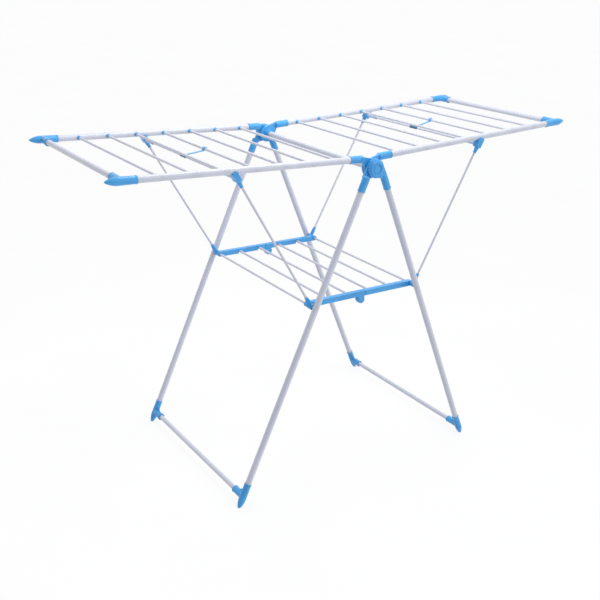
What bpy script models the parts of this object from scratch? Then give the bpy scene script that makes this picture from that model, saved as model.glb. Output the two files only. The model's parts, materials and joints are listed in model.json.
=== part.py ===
"""Gullwing clothes drying rack.

Two leg frames and two wings turn on one hub axle. A shelf in two hinged halves joins the legs
at mid height, and a stay from each leg frame carries its wing.
X runs along the wings, Y across them (near is -Y, far is +Y) and Z up. The feet stand on Z = 0.
"""

import math

import bmesh
import bpy
from mathutils import Matrix, Vector

# Stance
HUB_Z = 0.9255
LEG_TILT = math.radians(23.36)
WING_RISE = {"left": math.radians(1.4), "right": math.radians(3.5)}

# Tubes and rods
TUBE_R = 0.009
END_TUBE_R = 0.008
FOOT_BAR_R = 0.0072
TUBE_WALL = 0.0007
ROD_R = 0.0036
ROD_WALL = 0.0005
WIRE_R = 0.0033
CROSSBAR_R = 0.004
ROD_END_INSET = 0.004
FIT = 0.0003
OVERSHOOT = 0.002

# Where the tubes run across the rack, measured from the middle
LEG_Y = 0.2905
WING_Y = {"left": 0.2675, "right": 0.2640}

# How far the tubes lie from the lines through the hub axis, above a wing's and outside a leg's
WING_OFFSET = 0.0235
LEG_OFFSET = 0.0180

# Hub arms: four bosses side by side on the axle, from the right wing's out to the right leg's
BOSS_R = 0.025
SLAB = 0.0084
SLAB_STEP = 0.0090
SLAB_START = 0.2620
SLAB_ORDER = ("right_wing", "left_wing", "left_leg", "right_leg")
ARM_SLEEVE_R = 0.011
ARM_SLEEVE = (0.030, 0.072)
ARM_FLOOR = 0.041
NECK_X = 0.038
NECK_HALF_HEIGHT = 0.009
JOURNAL_R = 0.006
JOURNAL_REACH = 0.005
BLIND_HOLE = 0.0055
COLLAR_R = 0.013
COLLAR_Y = 0.2480
CAP_RIM = 0.0026
CAP_R = 0.0218
CAP_RECESS_R = 0.0135

# Wings
WING_ROD_START = 0.1062
WING_ROD_STEP = 0.0857
WING_RODS = 7
WING_END_X = 0.7200
WING_TIP_X = 0.7595
WING_SLEEVE_X = 0.6790

# Leg frames
FOOT_BAR_X = 0.9810
FOOT_TIP_X = 1.0220
FOOT_SLEEVE_X = 0.9410

# Tee connectors at the wing corners and the feet
TEE_R = 0.01125
BRANCH_R = 0.0105
BRANCH_LENGTH = 0.046
TEE_CORE = 0.0125
NOSE_START = 0.008
NOSE_STEPS = 6
NOSE_SHAPE = (1.7, 0.75)
UNDER_FLOOR = ((-0.6, 0.6), (-0.4, 0.4), (-0.1, 0.0))

# Mid shelf
SHELF_PIVOT_X = 0.411
PIVOT_OFFSET = 0.021
KNUCKLE_DROP = 0.018
KNUCKLE_R = 0.0115
KNUCKLE_PIN_R = 0.004
BAR_Y = (0.2460, 0.2615)
BAR_SPLIT_Y = 0.2537
BAR_HALF_HEIGHT = 0.0080
BAR_WALL = 0.0025
BAR_LAP = 0.0125
BAR_SOLID_ENDS = (0.013, 0.020)
WEB_HALF_WIDTH = (0.0110, 0.0095)
LAP_GAP = 0.0008
SHELF_ROD_X = (0.037, 0.110)
RIVET_GAP = 0.0015

# Stays
STAY_LENGTH = 0.4615
STAY_Y = 0.2710
EYE_Y = (0.2645, 0.2805)
EYE_R = 0.0085
WIRE_X = (0.005, 0.444)
LOWER_SLEEVE = ((0.002, 0.0058), (0.0205, 0.0058), (0.034, 0.0046))
UPPER_SLEEVE = ((0.4225, 0.0046), (0.4410, 0.0068))
HEAD_X = (0.4400, 0.4705)
HEAD_Z = (-0.0080, 0.0080)
HEAD_Y = (0.2585, 0.2790)
HEAD_CORNER = 0.004
CROSSBAR_AT = (0.4515, 0.0)
SADDLE_X = (0.36, 0.49)
SADDLE_GAP = 0.0004
SOCKET_R = 0.0065
SOCKET_Y = (0.212, 0.262)

TUBE_SIDES = 16
ROD_SIDES = 12
SLEEVE_SIDES = 12
BOSS_SIDES = 24
SMOOTH_ANGLE = math.radians(35)

SIDES = {"left": -1, "right": 1}
ENDS = {"near": -1, "far": 1}

# Colour, roughness and metallic value of each finish
FINISHES = {
    "frame_tube": ((0.62, 0.66, 0.77), 0.32, 0.0),
    "cross_tube": ((0.66, 0.70, 0.80), 0.32, 0.0),
    "rod": ((0.66, 0.69, 0.79), 0.34, 0.0),
    "stay_wire": ((0.58, 0.60, 0.70), 0.34, 0.0),
    "hub_plastic": ((0.08, 0.36, 0.82), 0.36, 0.0),
    "corner_plastic": ((0.08, 0.38, 0.84), 0.36, 0.0),
    "foot_plastic": ((0.07, 0.35, 0.80), 0.40, 0.0),
    "shelf_plastic": ((0.06, 0.33, 0.80), 0.38, 0.0),
}


# Scene and materials


def clear_scene():
    for obj in list(bpy.data.objects):
        bpy.data.objects.remove(obj, do_unlink=True)


def material(name, colour, roughness, metallic):
    made = bpy.data.materials.new(name)
    made.use_nodes = True
    shader = made.node_tree.nodes["Principled BSDF"]
    shader.inputs["Base Color"].default_value = (*colour, 1.0)
    shader.inputs["Roughness"].default_value = roughness
    shader.inputs["Metallic"].default_value = metallic
    return made


# Mesh builders, all in the frame of the body that the piece belongs to


def finished(bm, name):
    bmesh.ops.recalc_face_normals(bm, faces=bm.faces)
    mesh = bpy.data.meshes.new(name)
    bm.to_mesh(mesh)
    bm.free()
    mesh.shade_smooth()
    mesh.set_sharp_from_angle(angle=SMOOTH_ANGLE)
    return mesh


def turned(axis, centre, profile, sides=TUBE_SIDES, hollow=False):
    """A turned shape. profile is (distance along the axis, radius); centre is the axis's other
    two coordinates, in x, y, z order. A hollow one's profile is a closed ring."""
    bm = bmesh.new()
    rings = []
    for along, radius in profile:
        count = sides if radius > 0 else 1
        ring = []
        for i in range(count):
            angle = 2 * math.pi * (i + 0.5) / sides
            u, v = radius * math.cos(angle), radius * math.sin(angle)
            if axis == "x":
                point = (along, centre[0] + u, centre[1] + v)
            else:
                point = (centre[0] + u, along, centre[1] + v)
            ring.append(bm.verts.new(point))
        rings.append(ring)
    pairs = list(zip(rings, rings[1:]))
    if hollow:
        pairs.append((rings[-1], rings[0]))
    for first, second in pairs:
        for i in range(sides):
            j = (i + 1) % sides
            corners = [first[i % len(first)], first[j % len(first)]]
            corners += [second[j % len(second)], second[i % len(second)]]
            bm.faces.new(list(dict.fromkeys(corners)))
    for ring in (rings[0], rings[-1]):
        if not hollow and len(ring) > 1:
            bm.faces.new(ring)
    return finished(bm, "turned")


def rod(axis, span, centre, radius, sides=ROD_SIDES):
    return turned(axis, centre, [(span[0], radius), (span[1], radius)], sides)


def tube(axis, span, centre, radius, wall=TUBE_WALL, sides=TUBE_SIDES):
    inner = radius - wall
    ring = [(span[0], inner), (span[0], radius), (span[1], radius), (span[1], inner)]
    return turned(axis, centre, ring, sides, hollow=True)


def thin_rod(reach, centre, radius=ROD_R):
    """A thin-walled rod straight across the rack."""
    return tube("y", (-reach, reach), centre, radius, ROD_WALL, ROD_SIDES)


def plate(outline, y_span):
    """An outline in x and z, extruded across the rack."""
    bm = bmesh.new()
    low = [bm.verts.new((x, y_span[0], z)) for x, z in outline]
    high = [bm.verts.new((x, y_span[1], z)) for x, z in outline]
    bm.faces.new(low)
    bm.faces.new(high)
    for i in range(len(outline)):
        j = (i + 1) % len(outline)
        bm.faces.new((low[i], low[j], high[j], high[i]))
    return finished(bm, "plate")


def block(x_span, y_span, z_span):
    corners = [(x_span[i], z_span[j]) for i, j in ((0, 0), (1, 0), (1, 1), (0, 1))]
    return plate(corners, y_span)


def joined_meshes(meshes, name):
    bm = bmesh.new()
    for mesh in meshes:
        bm.from_mesh(mesh)
    return finished(bm, name)


def arc(centre, radius, start, end, steps):
    """Points on an arc, from start to end in degrees."""
    angles = [math.radians(start + (end - start) * i / steps) for i in range(steps + 1)]
    return [(centre[0] + radius * math.cos(a), centre[1] + radius * math.sin(a)) for a in angles]


def across(sign, *distances):
    """A span across the rack on one side of its middle, lowest first."""
    return sorted(sign * distance for distance in distances)


# Bodies: each is an empty on its joint's axis


def spar_frame(side, origin, rise):
    """X runs out along a spar that starts at origin, given as x and z for the right side, and
    rises at this angle. Z points to the side of the spar that its tube is on."""
    flip = Matrix.Rotation(math.pi, 4, "Z") if side == "left" else Matrix()
    turn = Matrix.Rotation(-rise, 4, "Y")
    return flip @ Matrix.Translation((origin[0], 0, origin[1])) @ turn


def pivot(name, frame, parent=None):
    """An empty on a joint's axis. Its matrix_basis is its frame in the world."""
    empty = bpy.data.objects.new(name, None)
    empty.empty_display_size = 0.05
    bpy.context.scene.collection.objects.link(empty)
    empty.matrix_basis = frame
    if parent:
        empty.parent = parent
        empty.matrix_parent_inverse = parent.matrix_basis.inverted()
    return empty


def piece(name, mesh, finish, body):
    obj = bpy.data.objects.new(name, mesh)
    mesh.name = name
    mesh.materials.append(finishes[finish])
    obj.parent = body
    bpy.context.scene.collection.objects.link(obj)
    return obj


def combine(obj, operation, mesh, body):
    tool = bpy.data.objects.new(obj.name + "_tool", mesh)
    tool.parent = body
    tool.hide_render = True
    tool.display_type = "WIRE"
    bpy.context.scene.collection.objects.link(tool)
    modifier = obj.modifiers.new(operation.lower(), "BOOLEAN")
    modifier.operation = operation
    modifier.solver = "EXACT"
    modifier.object = tool


def weld(obj, mesh, body):
    combine(obj, "UNION", mesh, body)


def carve(obj, mesh, body):
    combine(obj, "DIFFERENCE", mesh, body)


# Hub


def arm_outline(offset):
    """The boss and the neck that widens into the sleeve beside it."""
    boss = arc((0, 0), BOSS_R, 100, 325, 15)
    return boss + [(NECK_X, offset - NECK_HALF_HEIGHT), (NECK_X, offset + NECK_HALF_HEIGHT)]


def hub_arm(name, kind, body, sign, spar):
    """One arm. kind says which slab of the hub its boss fills, and sign which side it is on."""
    slab = SLAB_START + SLAB_STEP * SLAB_ORDER.index(kind)
    face = slab + SLAB
    mesh = plate(arm_outline(spar[1]), across(sign, slab, face))
    obj = piece(name, mesh, "hub_plastic", body)
    weld(obj, rod("x", ARM_SLEEVE, spar, ARM_SLEEVE_R, TUBE_SIDES), body)
    bore = (ARM_FLOOR, ARM_SLEEVE[1] + OVERSHOOT)
    carve(obj, rod("x", bore, spar, TUBE_R + FIT, TUBE_SIDES), body)
    hole_end = face + OVERSHOOT
    if kind == "right_leg":
        rim = across(sign, face - OVERSHOOT, face + CAP_RIM)
        weld(obj, rod("y", rim, (0, 0), CAP_R, BOSS_SIDES), body)
        recess = across(sign, face, face + CAP_RIM + OVERSHOOT)
        carve(obj, rod("y", recess, (0, 0), CAP_RECESS_R, BOSS_SIDES), body)
        hole_end = slab + BLIND_HOLE
    if kind == "right_wing":
        collar = across(sign, COLLAR_Y, slab + SLAB / 2)
        weld(obj, rod("y", collar, (0, 0), COLLAR_R, TUBE_SIDES), body)
        seat = across(sign, COLLAR_Y - OVERSHOOT, SLAB_START)
        carve(obj, rod("y", seat, (0, 0), TUBE_R + FIT, TUBE_SIDES), body)
    hole = across(sign, slab - OVERSHOOT, hole_end)
    carve(obj, rod("y", hole, (0, 0), JOURNAL_R + FIT, TUBE_SIDES), body)


def make_axle(body):
    """A tube with swaged ends: the ends are the journals that all four pairs of arms turn on."""
    shoulder = SLAB_START - FIT
    neck = shoulder - 2 * TUBE_WALL
    end = SLAB_START + SLAB_STEP * (len(SLAB_ORDER) - 1) + JOURNAL_REACH
    bore = JOURNAL_R - 2 * TUBE_WALL
    outer = [(end, JOURNAL_R), (shoulder, JOURNAL_R), (shoulder, TUBE_R)]
    inner = [(neck, TUBE_R - TUBE_WALL), (neck, bore), (end, bore)]
    opposite = [(-y, radius) for y, radius in reversed(inner + outer)]
    ring = outer + opposite + inner
    piece("hub_axle", turned("y", (0, 0), ring, hollow=True), "frame_tube", body)


# Tee connectors


def nose(start, tip):
    """A rounded cone from the sleeve's radius down to the tip."""
    fullness, roundness = NOSE_SHAPE
    points = []
    for i in range(NOSE_STEPS):
        share = i / NOSE_STEPS
        radius = TEE_R * (1 - share**fullness) ** roundness
        points.append((start + (tip - start) * share, radius))
    return points + [(tip, 0.0)]


def tee(name, finish, body, sign, spar, sleeve_x, branch_x, tip_x, cross_r):
    """A sleeve on the end of a spar, with a rounded nose and a branch for the cross tube."""
    spar_y, offset = abs(spar[0]), spar[1]
    profile = [(sleeve_x, TEE_R)] + nose(branch_x + NOSE_START, tip_x)
    obj = piece(name, turned("x", spar, profile), finish, body)
    branch = across(sign, spar_y, spar_y - BRANCH_LENGTH)
    weld(obj, rod("y", branch, (branch_x, offset), BRANCH_R, TUBE_SIDES), body)
    main_bore = (sleeve_x - OVERSHOOT, branch_x - TEE_CORE)
    carve(obj, rod("x", main_bore, spar, TUBE_R + FIT, TUBE_SIDES), body)
    branch_bore = across(sign, spar_y - TEE_CORE, spar_y - BRANCH_LENGTH - OVERSHOOT)
    carve(obj, rod("y", branch_bore, (branch_x, offset), cross_r + FIT, TUBE_SIDES), body)
    return obj


def cross_tube(name, body, spar, at_x, radius):
    reach = abs(spar[0]) - TEE_CORE - FIT
    mesh = tube("y", (-reach, reach), (at_x, spar[1]), radius)
    piece(name, mesh, "cross_tube", body)


# Wings


def make_wing(side, body):
    rod_xs = [WING_ROD_START + WING_ROD_STEP * i for i in range(WING_RODS)]
    for end, world_sign in ENDS.items():
        sign = world_sign * SIDES[side]
        prefix = f"{side}_wing_{end}"
        spar = (sign * WING_Y[side], WING_OFFSET)
        hub_arm(prefix + "_arm", side + "_wing", body, sign, spar)
        span = (ARM_FLOOR + FIT, WING_END_X - TEE_CORE - FIT)
        mesh = tube("x", span, spar, TUBE_R)
        rail = piece(prefix + "_rail", mesh, "frame_tube", body)
        inward = across(sign, WING_Y[side], WING_Y[side] - TUBE_R - OVERSHOOT)
        holes = [rod("y", inward, (x, WING_OFFSET), ROD_R + FIT) for x in rod_xs]
        carve(rail, joined_meshes(holes, "rod_holes"), body)
        along = (WING_SLEEVE_X, WING_END_X, WING_TIP_X)
        tee(prefix + "_corner", "corner_plastic", body, sign, spar, *along, END_TUBE_R)
    reach = WING_Y[side] - ROD_END_INSET
    for number, x in enumerate(rod_xs, 1):
        piece(f"{side}_wing_rod_{number}", thin_rod(reach, (x, WING_OFFSET)), "rod", body)
    cross_tube(side + "_wing_end_tube", body, spar, WING_END_X, END_TUBE_R)


# Leg frames


def make_leg_frame(side, body):
    for end, world_sign in ENDS.items():
        sign = world_sign * SIDES[side]
        prefix = f"{side}_{end}"
        spar = (sign * LEG_Y, LEG_OFFSET)
        hub_arm(prefix + "_leg_arm", side + "_leg", body, sign, spar)
        span = (ARM_FLOOR + FIT, FOOT_BAR_X - TEE_CORE - FIT)
        mesh = tube("x", span, spar, TUBE_R)
        leg = piece(prefix + "_leg", mesh, "frame_tube", body)
        at = (SHELF_PIVOT_X, PIVOT_OFFSET)
        if side == "left":
            inward = across(sign, LEG_Y, LEG_Y - TUBE_R - OVERSHOOT)
            carve(leg, rod("y", inward, at, ROD_R + FIT), body)
        else:
            rivet = across(sign, LEG_Y, BAR_Y[1] + RIVET_GAP)
            weld(leg, rod("y", rivet, at, ROD_R), body)
        along = (FOOT_SLEEVE_X, FOOT_BAR_X, FOOT_TIP_X)
        foot = tee(prefix + "_foot", "foot_plastic", body, sign, spar, *along, FOOT_BAR_R)
        carve(foot, block(*UNDER_FLOOR), None)
    cross_tube(side + "_foot_bar", body, spar, FOOT_BAR_X, FOOT_BAR_R)


def make_left_shelf_pivot_rod(body):
    """The rod through both left legs, which the left stays and the left shelf bars turn on."""
    reach = LEG_Y - ROD_END_INSET
    piece("shelf_left_pivot_rod", thin_rod(reach, (SHELF_PIVOT_X, PIVOT_OFFSET)), "rod", body)


# Mid shelf


def knuckle(bar, body, centre, slab):
    """Half of the hinge: a disc below the bar, with a web up into it."""
    weld(bar, rod("y", slab, centre, KNUCKLE_R, BOSS_SIDES), body)
    x, low, high = centre[0], centre[1], centre[1] + KNUCKLE_DROP
    foot, top = WEB_HALF_WIDTH
    web = [(x - foot, low), (x + foot, low), (x + top, high), (x - top, high)]
    weld(bar, plate(web, slab), body)


def shelf_bar(name, body, sign, pivot_at, centre):
    """Half of a folding shelf bar: an inverted channel from its leg pivot to the knuckle. The
    left half takes the outer side of the lap at the knuckle, and the right half the inner."""
    left = pivot_at[0] < centre[0]
    out = 1 if left else -1
    low, high = pivot_at[1] - BAR_HALF_HEIGHT, pivot_at[1] + BAR_HALF_HEIGHT
    lap_x = centre[0] + out * BAR_LAP
    end = arc(pivot_at, BAR_HALF_HEIGHT, 90, 270, 8)
    if not left:
        end = [(2 * pivot_at[0] - x, z) for x, z in end]
    outline = end + [(lap_x, low), (lap_x, high)]
    bar = piece(name, plate(outline, across(sign, *BAR_Y)), "shelf_plastic", body)

    kept = (BAR_SPLIT_Y + FIT, BAR_Y[1]) if left else (BAR_Y[0], BAR_SPLIT_Y)
    inner_face, outer_face = BAR_Y[0] - OVERSHOOT, BAR_Y[1] + OVERSHOOT
    cut = (inner_face, kept[0]) if left else (kept[1], outer_face)
    lap_start = centre[0] - out * (BAR_LAP + LAP_GAP)
    lap = sorted((lap_start, lap_x + out * OVERSHOOT))
    carve(bar, block(lap, across(sign, *cut), (low - OVERSHOOT, high + OVERSHOOT)), body)
    at_pivot, at_knuckle = BAR_SOLID_ENDS
    hollow = sorted((pivot_at[0] + out * at_pivot, centre[0] - out * at_knuckle))
    walls = across(sign, BAR_Y[0] + BAR_WALL, BAR_Y[1] - BAR_WALL)
    carve(bar, block(hollow, walls, (low - OVERSHOOT, high - BAR_WALL)), body)

    knuckle(bar, body, centre, across(sign, *kept))
    if left:
        pin = across(sign, BAR_Y[0] + FIT, BAR_SPLIT_Y + OVERSHOOT)
        weld(bar, rod("y", pin, centre, KNUCKLE_PIN_R, TUBE_SIDES), body)
    else:
        hole = across(sign, inner_face, BAR_SPLIT_Y + OVERSHOOT)
        carve(bar, rod("y", hole, centre, KNUCKLE_PIN_R + FIT, TUBE_SIDES), body)
    through = across(sign, inner_face, outer_face)
    carve(bar, rod("y", through, pivot_at, ROD_R + FIT), body)

    inner_wall = across(sign, inner_face, BAR_Y[0] + BAR_WALL + OVERSHOOT)
    width = ROD_R + FIT
    for distance in SHELF_ROD_X:
        x = centre[0] - out * distance
        notch = arc((x, pivot_at[1]), width, 0, 180, 6)
        notch += [(x - width, low - OVERSHOOT), (x + width, low - OVERSHOOT)]
        carve(bar, plate(notch, inner_wall), body)


def make_shelf_half(side, body, pivot_at, centre):
    for end, sign in ENDS.items():
        shelf_bar(f"shelf_{side}_{end}_bar", body, sign, pivot_at, centre)
    out = 1 if side == "left" else -1
    reach = BAR_Y[1] - BAR_WALL - FIT
    for number, distance in enumerate(SHELF_ROD_X, 1):
        x = centre[0] - out * distance
        piece(f"shelf_{side}_rod_{number}", thin_rod(reach, (x, pivot_at[1])), "rod", body)
    if side == "right":
        reach = BAR_Y[1] - FIT
        piece("shelf_right_pivot_rod", thin_rod(reach, pivot_at), "rod", body)


# Stays


def stay_rise(side, foot):
    """The angle at which a stay of STAY_LENGTH from foot, in x and z, meets its rail's underside."""
    rise = WING_RISE[side]
    x, z = foot[0], foot[1] - HUB_Z
    along = x * math.cos(rise) + z * math.sin(rise)
    below = x * math.sin(rise) - z * math.cos(rise)
    gap = below + WING_OFFSET - TUBE_R
    top = along + math.sqrt(STAY_LENGTH**2 - gap**2)
    return math.atan2(gap, top - along) + rise


def strut(name, body, wing, wing_y, sign):
    """A wire in its moulded ends: an eye at the leg, and a saddle head under the wing's rail."""
    at = (sign * STAY_Y, 0)
    obj = piece(name, rod("x", WIRE_X, at, WIRE_R), "stay_wire", body)
    weld(obj, rod("y", across(sign, *EYE_Y), (0, 0), EYE_R, TUBE_SIDES), body)
    for profile in (LOWER_SLEEVE, UPPER_SLEEVE):
        weld(obj, turned("x", at, profile, SLEEVE_SIDES), body)
    (x0, x1), (z0, z1), c = HEAD_X, HEAD_Z, HEAD_CORNER
    outline = arc((x0 + c, z0 + c), c, 180, 270, 2) + arc((x1 - c, z0 + c), c, 270, 360, 2)
    outline += arc((x1 - c, z1 - c), c, 0, 90, 2) + arc((x0 + c, z1 - c), c, 90, 180, 2)
    weld(obj, plate(outline, across(sign, *HEAD_Y)), body)
    weld(obj, rod("y", across(sign, *SOCKET_Y), CROSSBAR_AT, SOCKET_R, SLEEVE_SIDES), body)
    eye_hole = across(sign, EYE_Y[0] - OVERSHOOT, EYE_Y[1] + OVERSHOOT)
    carve(obj, rod("y", eye_hole, (0, 0), ROD_R + FIT), body)
    bore = across(sign, SOCKET_Y[0] - OVERSHOOT, HEAD_Y[0])
    carve(obj, rod("y", bore, CROSSBAR_AT, CROSSBAR_R + FIT, SLEEVE_SIDES), body)
    saddle = TUBE_R + SADDLE_GAP
    carve(obj, rod("x", SADDLE_X, (sign * wing_y, WING_OFFSET), saddle, TUBE_SIDES), wing)


def make_stay(side, body, wing):
    for end, world_sign in ENDS.items():
        strut(f"{side}_stay_{end}_strut", body, wing, WING_Y[side], world_sign * SIDES[side])
    reach = HEAD_Y[0] - FIT
    piece(side + "_stay_crossbar", thin_rod(reach, CROSSBAR_AT, CROSSBAR_R), "rod", body)


clear_scene()
finishes = {name: material(name, *values) for name, values in FINISHES.items()}

hub = (0.0, HUB_Z)
leg_rise = LEG_TILT - math.pi / 2
leg_pivot = spar_frame("right", hub, leg_rise) @ Vector((SHELF_PIVOT_X, 0.0, PIVOT_OFFSET))
pivot_at = (leg_pivot.x, leg_pivot.z)
left_shelf_at = Matrix.Translation((-leg_pivot.x, 0, leg_pivot.z))
right_shelf_at = Matrix.Translation((0, 0, leg_pivot.z - KNUCKLE_DROP))

left_legs = pivot("left_leg_frame_pivot", spar_frame("left", hub, leg_rise))
right_legs = pivot("right_leg_frame_pivot", spar_frame("right", hub, leg_rise), left_legs)
legs = {"left": left_legs, "right": right_legs}
wings = {}
for side in SIDES:
    wing_at = spar_frame(side, hub, WING_RISE[side])
    wings[side] = pivot(side + "_wing_pivot", wing_at, legs[side])
    make_wing(side, wings[side])
    stay_at = spar_frame(side, pivot_at, stay_rise(side, pivot_at))
    make_stay(side, pivot(side + "_stay_pivot", stay_at, legs[side]), wings[side])
left_shelf = pivot("left_shelf_pivot", left_shelf_at, left_legs)
right_shelf = pivot("right_shelf_pivot", right_shelf_at, left_shelf)

make_axle(left_legs)
make_leg_frame("left", left_legs)
make_left_shelf_pivot_rod(left_legs)
make_leg_frame("right", right_legs)
make_shelf_half("left", left_shelf, (0.0, 0.0), (leg_pivot.x, -KNUCKLE_DROP))
make_shelf_half("right", right_shelf, (leg_pivot.x, KNUCKLE_DROP), (0.0, 0.0))
bpy.context.view_layer.update()
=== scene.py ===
import json
import math

import bmesh
import bpy
from mathutils import Matrix, Vector


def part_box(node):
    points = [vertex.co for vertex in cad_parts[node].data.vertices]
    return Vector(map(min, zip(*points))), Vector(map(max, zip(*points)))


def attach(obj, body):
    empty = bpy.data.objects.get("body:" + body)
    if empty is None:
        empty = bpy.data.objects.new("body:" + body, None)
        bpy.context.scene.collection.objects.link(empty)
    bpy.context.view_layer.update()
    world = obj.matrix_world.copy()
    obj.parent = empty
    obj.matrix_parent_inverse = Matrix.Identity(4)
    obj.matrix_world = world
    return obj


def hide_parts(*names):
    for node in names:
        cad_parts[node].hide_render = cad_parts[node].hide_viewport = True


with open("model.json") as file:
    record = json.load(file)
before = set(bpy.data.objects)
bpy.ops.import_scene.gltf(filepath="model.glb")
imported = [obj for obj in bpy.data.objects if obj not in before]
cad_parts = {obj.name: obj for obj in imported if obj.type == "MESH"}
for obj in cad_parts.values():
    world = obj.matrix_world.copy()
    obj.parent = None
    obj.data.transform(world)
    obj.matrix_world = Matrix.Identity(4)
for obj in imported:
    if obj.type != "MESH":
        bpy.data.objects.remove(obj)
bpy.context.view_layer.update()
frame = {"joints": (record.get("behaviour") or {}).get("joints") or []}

# Dimensions of the CAD model, in metres
LEG_TILT = math.radians(23.36)
WING_RISE = {"left": math.radians(1.4), "right": math.radians(3.5)}
TUBE_R = 0.009
END_TUBE_R = 0.008
FOOT_BAR_R = 0.0072
ROD_R = 0.0036
WIRE_R = 0.0033
CROSSBAR_R = 0.004
FIT = 0.0003
LEG_Y = 0.2905
WING_Y = {"left": 0.2675, "right": 0.2640}
WING_OFFSET = 0.0235
LEG_OFFSET = 0.0180
BOSS_R = 0.025
SLAB = 0.0084
SLAB_STEP = 0.0090
SLAB_START = 0.2620
SLAB_ORDER = ("right_wing", "left_wing", "left_leg", "right_leg")
ARM_SLEEVE_R = 0.011
ARM_SLEEVE = (0.030, 0.072)
ARM_FLOOR = 0.041
NECK_X = 0.038
JOURNAL_R = 0.006
COLLAR_R = 0.013
COLLAR_Y = 0.2480
CAP_RIM = 0.0026
CAP_R = 0.0218
CAP_RECESS_R = 0.0135
WING_ROD_START = 0.1062
WING_ROD_STEP = 0.0857
WING_RODS = 7
WING_END_X = 0.7200
WING_TIP_X = 0.7595
WING_SLEEVE_X = 0.6790
FOOT_BAR_X = 0.9810
FOOT_TIP_X = 1.0220
FOOT_SLEEVE_X = 0.9410
TEE_R = 0.01125
BRANCH_R = 0.0105
BRANCH_LENGTH = 0.046
TEE_CORE = 0.0125
SHELF_PIVOT_X = 0.411
PIVOT_OFFSET = 0.021
KNUCKLE_R = 0.0115
KNUCKLE_PIN_R = 0.004
BAR_Y = (0.2460, 0.2615)
BAR_SPLIT_Y = 0.2537
BAR_HALF_HEIGHT = 0.0080
BAR_WALL = 0.0025
BAR_LAP = 0.0125
SHELF_ROD_X = (0.037, 0.110)
STAY_Y = 0.2710
EYE_Y = (0.2645, 0.2805)
EYE_R = 0.0085
WIRE_X = (0.005, 0.444)
LOWER_SLEEVE = ((0.002, 0.0058), (0.0205, 0.0058), (0.034, 0.0046))
UPPER_SLEEVE = ((0.4225, 0.0046), (0.4410, 0.0068))
HEAD_X = (0.4400, 0.4705)
HEAD_Z = (-0.0080, 0.0080)
HEAD_Y = (0.2585, 0.2790)
CROSSBAR_X = 0.4515
SOCKET_R = 0.0065
SOCKET_Y = (0.212, 0.262)
SADDLE_R = 0.0094

# Details that only the visible mouldings have, in metres and degrees
BOSS_RIM = 0.0009
TOOTH_SPAN = (-0.0015, 0.0016)
TOOTH_HALF = 0.0013
TEETH_ARC = (112, 304, 12)
NECK_HALF = 0.0085
RIB_LIFTS = (-0.0055, 0.0055)
RIB_HALF = 0.0009
RIB_START = 0.012
DIMPLES_X = (0.041, 0.051, 0.061)
DIMPLE_R = 0.0019
DIMPLE_DEPTH = 0.0012
CAP_FACE_R = 0.006
FILLET = 0.0006
TEE_LIP = 0.0011
GUSSET_REACH = 0.017
GUSSET_HALF = 0.0022
SEAM_HALF = 0.0004
GROMMET_SIDES = 24
HEAD_FILLET = 0.0045
WIRE_FIT = 0.0001
RIDGE_HALF = 0.0009
# For each wing's catch, the rod it hangs from, counted from 0, and how far along it
CATCHES = {"left": (3, 0.0), "right": (4, 0.005)}
CATCH_RING_R = (0.0060, 0.0066)
CATCH_RING_Y = (0.0044, 0.0050)
STRAP_HALF = (0.0037, 0.0015)
CLIP_R = 0.0062
CLIP_SPAN = (0.003, 0.030)
CLIP_FIT = 0.0004

# How far a cutter runs past what it cuts
PAST = 0.002
# How far a rubbed mark fades along a tube, and the most between a tube's rings
MARK_REACH = 0.012
RING_SPACING = 0.05

SIDES = {"left": -1, "right": 1}
ENDS = {"near": -1, "far": 1}
TUBE_SIDES = 36
ROD_SIDES = 20
VOXEL = 0.0006
FINE_VOXEL = VOXEL * 0.7
WING_ROD_X = [WING_ROD_START + WING_ROD_STEP * i for i in range(WING_RODS)]


# Places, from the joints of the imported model

joint_at = {joint["name"]: Vector(joint["pos_m"]) for joint in frame["joints"]}
HUB = joint_at["leg_fold"]
PIVOT = joint_at["right_stay_fold"]
KNUCKLE = joint_at["right_shelf_fold"]


def spar_frame(side, origin, rise):
    """X runs out along a spar from origin, given for the right side, and Z is the side its tube
    is on. The left side's frames are the right side's, turned half a turn about Z."""
    flip = Matrix.Rotation(math.pi, 4, "Z") if side == "left" else Matrix()
    turn = Matrix.Rotation(-rise, 4, "Y")
    return flip @ Matrix.Translation((origin.x, 0, origin.z)) @ turn


def stay_rise(side):
    low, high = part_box(f"{side}_stay_crossbar")
    middle = (low + high) / 2
    return math.atan2(middle.z - PIVOT.z, abs(middle.x) - PIVOT.x)


LEG_AT = {side: spar_frame(side, HUB, LEG_TILT - math.pi / 2) for side in SIDES}
WING_AT = {side: spar_frame(side, HUB, WING_RISE[side]) for side in SIDES}
STAY_AT = {side: spar_frame(side, PIVOT, stay_rise(side)) for side in SIDES}


# Materials


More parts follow.
